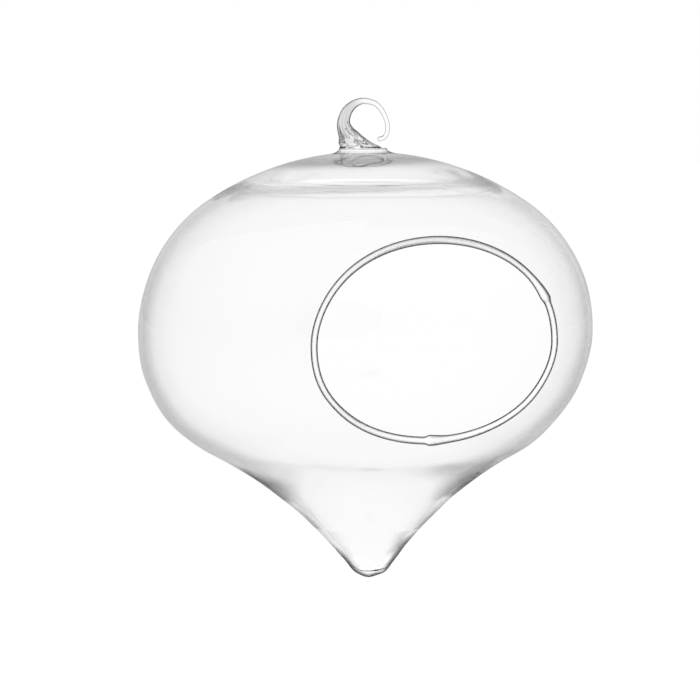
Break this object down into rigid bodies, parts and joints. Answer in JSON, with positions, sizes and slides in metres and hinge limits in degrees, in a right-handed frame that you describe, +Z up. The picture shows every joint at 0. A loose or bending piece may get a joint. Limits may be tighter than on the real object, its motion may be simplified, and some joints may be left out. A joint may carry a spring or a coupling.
{
  "type": "hanging glass ball vase",
  "caption": "Clear blown glass ball vase with a pointed foot, a wide oval mouth in its front and an open glass hook on top to hang it by.",
  "frame": {"origin": "top of the inside of the hook's eye, where the vase rests on what it hangs from", "axes": "+Z up along the bulb's axis, the mouth faces -Y, and the hook's loop lies in the XZ plane with its root at -X"},
  "size_m": [0.1204, 0.1117, 0.1277],
  "materials": {
    "blown_glass": "clear and polished by the flame",
    "bead_glass": "clear and polished by the flame",
    "seal_glass": "clear and polished by the flame",
    "pad_glass": "clear and polished by the flame",
    "hook_glass": "clear and polished by the flame"
  },
  "bodies": {
    "root": {"bulb": "blown_glass", "mouth_bead": "bead_glass", "tip_seal": "seal_glass", "hook_pad": "pad_glass", "hook": "hook_glass"}
  },
  "joints": []
}
